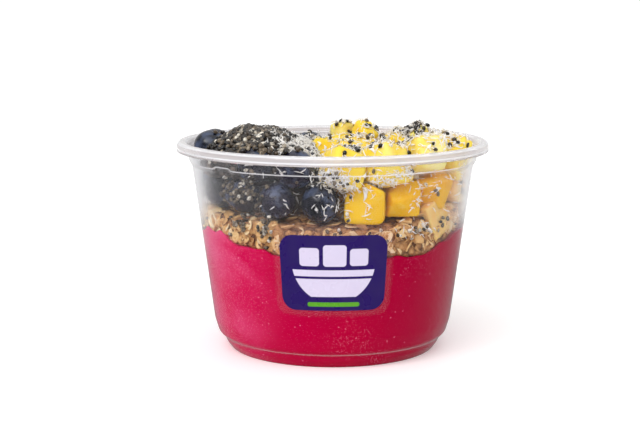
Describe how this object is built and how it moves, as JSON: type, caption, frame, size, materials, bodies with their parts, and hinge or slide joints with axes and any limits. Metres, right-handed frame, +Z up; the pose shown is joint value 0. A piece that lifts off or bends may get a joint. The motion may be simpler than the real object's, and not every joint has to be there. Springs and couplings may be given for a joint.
{
  "type": "acai bowl",
  "caption": "Clear plastic tub of frozen acai topped with granola, blueberries, diced mango, chia seeds and coconut.",
  "frame": {"origin": "middle of the tub's foot, on the surface that it stands on", "axes": "+Z up the tub; the label faces -Y; the blueberries are at -X and the mango at +X"},
  "size_m": [0.117, 0.1168, 0.0861],
  "materials": {
    "tub": "clear, slightly milky",
    "label": "printed clear film",
    "acai": "frozen, fine frosty grain",
    "granola": "toasted oat flakes",
    "blueberry": "dark skin with a waxy bloom",
    "mango": "moist cut flesh",
    "chia": "speckled dry seeds"
  },
  "bodies": {
    "root": {"acai": "acai", "blueberry_01": "blueberry", "blueberry_02": "blueberry", "blueberry_03": "blueberry", "blueberry_04": "blueberry", "blueberry_05": "blueberry", "blueberry_06": "blueberry", "blueberry_07": "blueberry", "blueberry_08": "blueberry", "blueberry_09": "blueberry", "blueberry_10": "blueberry", "blueberry_11": "blueberry", "blueberry_12": "blueberry", "blueberry_13": "blueberry", "blueberry_14": "blueberry", "blueberry_15": "blueberry", "blueberry_16": "blueberry", "blueberry_17": "blueberry", "blueberry_18": "blueberry", "blueberry_19": "blueberry", "blueberry_20": "blueberry", "blueberry_21": "blueberry", "chia_heap": "chia", "granola": "granola", "label": "label", "mango_01": "mango", "mango_02": "mango", "mango_03": "mango", "mango_04": "mango", "mango_05": "mango", "mango_06": "mango", "mango_07": "mango", "mango_08": "mango", "mango_09": "mango", "mango_10": "mango", "mango_11": "mango", "mango_12": "mango", "mango_13": "mango", "mango_14": "mango", "mango_15": "mango", "mango_16": "mango", "mango_17": "mango", "mango_18": "mango", "mango_19": "mango", "mango_20": "mango", "mango_21": "mango", "mango_22": "mango", "mango_23": "mango", "tub": "tub"}
  },
  "joints": []
}
